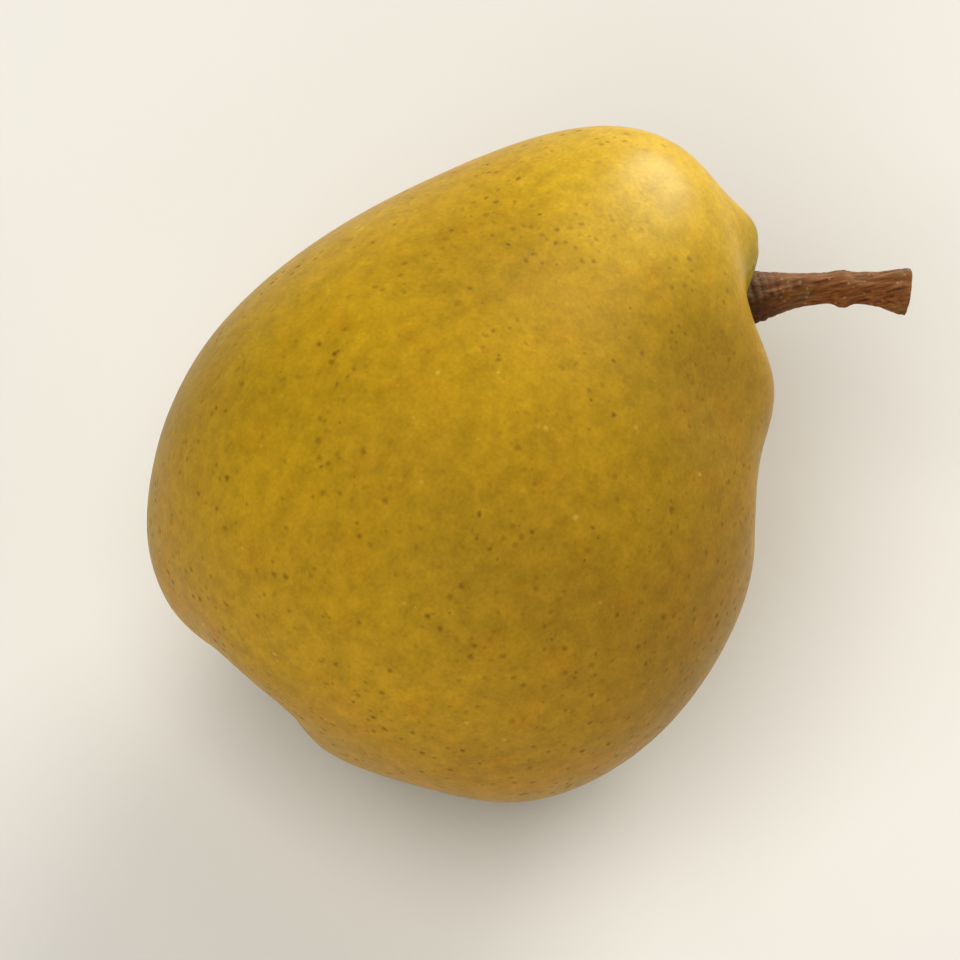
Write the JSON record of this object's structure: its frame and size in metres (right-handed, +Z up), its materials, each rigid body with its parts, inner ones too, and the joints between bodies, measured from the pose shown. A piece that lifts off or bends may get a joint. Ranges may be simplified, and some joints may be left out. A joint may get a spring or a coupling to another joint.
{
  "type": "pear",
  "caption": "Golden dessert pear with a short lumpy neck, a woody stem and a dried calyx, lying on its side on a small flat spot.",
  "frame": {"origin": "on the small flat spot that the pear rests on, under the middle of its belly", "axes": "+Z up, +X along the pear towards its neck and stem, -X towards the blossom end; the pear's own axis is raised 10 degrees at the neck"},
  "size_m": [0.1013, 0.0802, 0.0799],
  "materials": {
    "skin": "satin waxy skin, golden yellow with ochre mottling and small dots",
    "stem": "dull brown bark with olive patches",
    "calyx": "dry, dull dark brown"
  },
  "bodies": {
    "root": {"fruit": "skin", "stem": "stem", "calyx": "calyx"}
  },
  "joints": []
}
